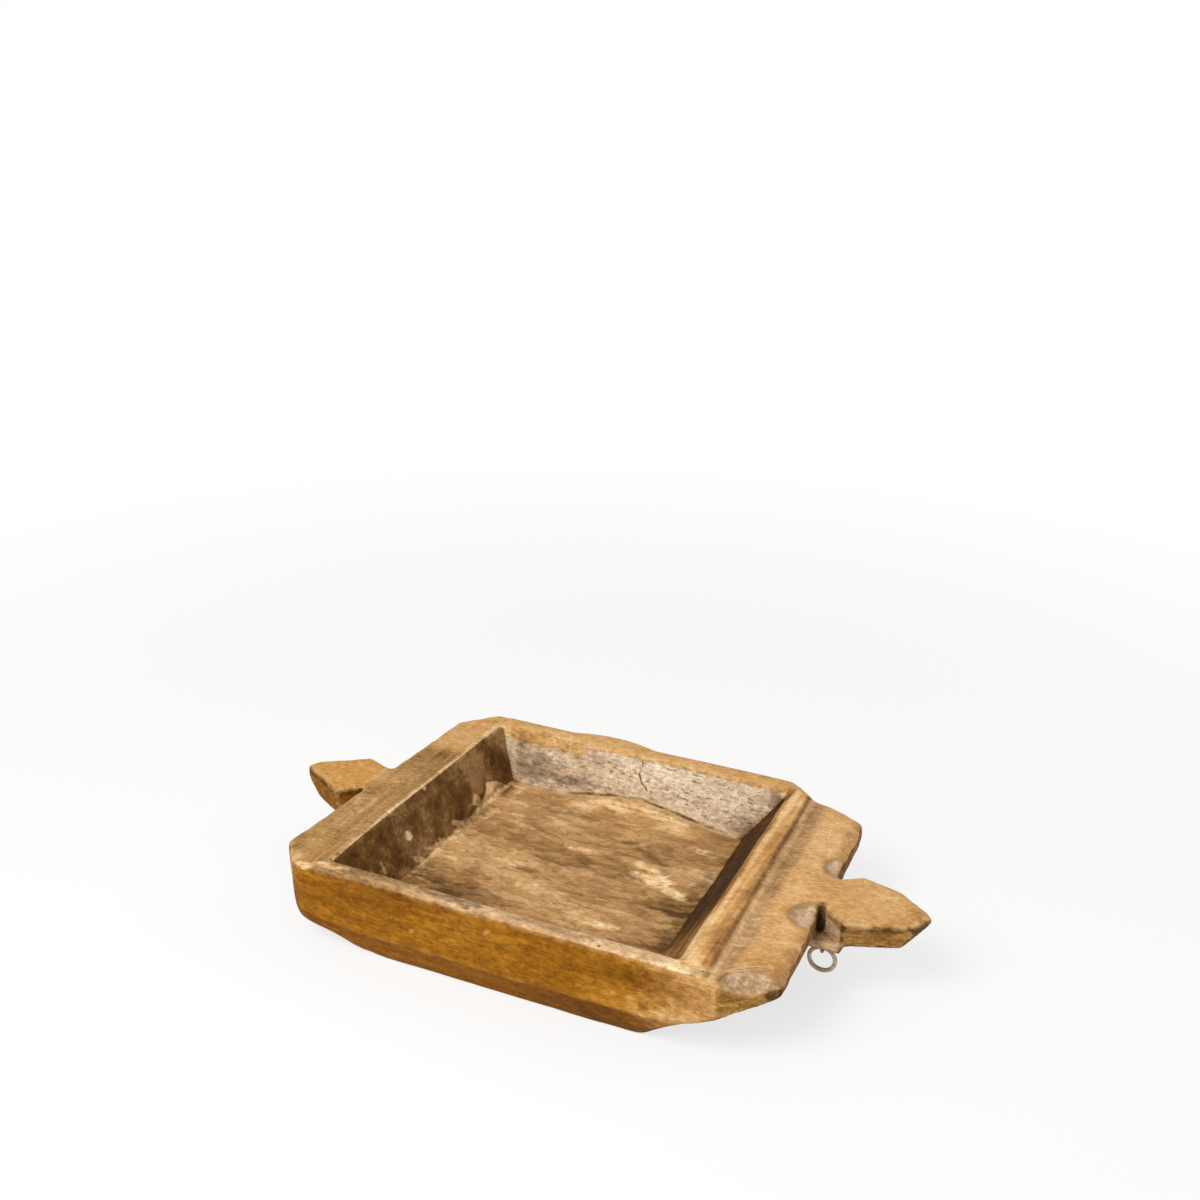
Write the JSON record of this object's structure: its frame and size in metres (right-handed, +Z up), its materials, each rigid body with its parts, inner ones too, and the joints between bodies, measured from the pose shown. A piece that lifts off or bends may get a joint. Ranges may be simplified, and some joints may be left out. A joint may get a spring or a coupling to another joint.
{
  "type": "dough bowl",
  "caption": "Hand-carved wooden dough bowl with a rectangular hollow, a kite-shaped lug at each end and a small hanging ring under one neck.",
  "frame": {"origin": "under the middle of the bowl's bounding box, on the plane of its flat base", "axes": "+X along the grain towards the longer lug, +Y away from the side that shows in the picture, +Z up"},
  "size_m": [0.561, 0.3079, 0.078],
  "materials": {
    "carved_wood": "hand-carved, waxed and worn, golden on the sides, pale on the cut edges and dark inside the left wall",
    "staple_wire": "dull, aged wire",
    "ring_wire": "dull and pale, worn"
  },
  "bodies": {
    "bowl_body": {"bowl": "carved_wood", "staple": "staple_wire"},
    "ring_body": {"ring": "ring_wire"}
  },
  "joints": [
    {"name": "ring_swing", "type": "hinge", "parent": "bowl_body", "child": "ring_body", "pos_m": [0.20471, -0.036, 0.0448], "axis": [1, 0, 0], "range_deg": [-85, 85]}
  ]
}
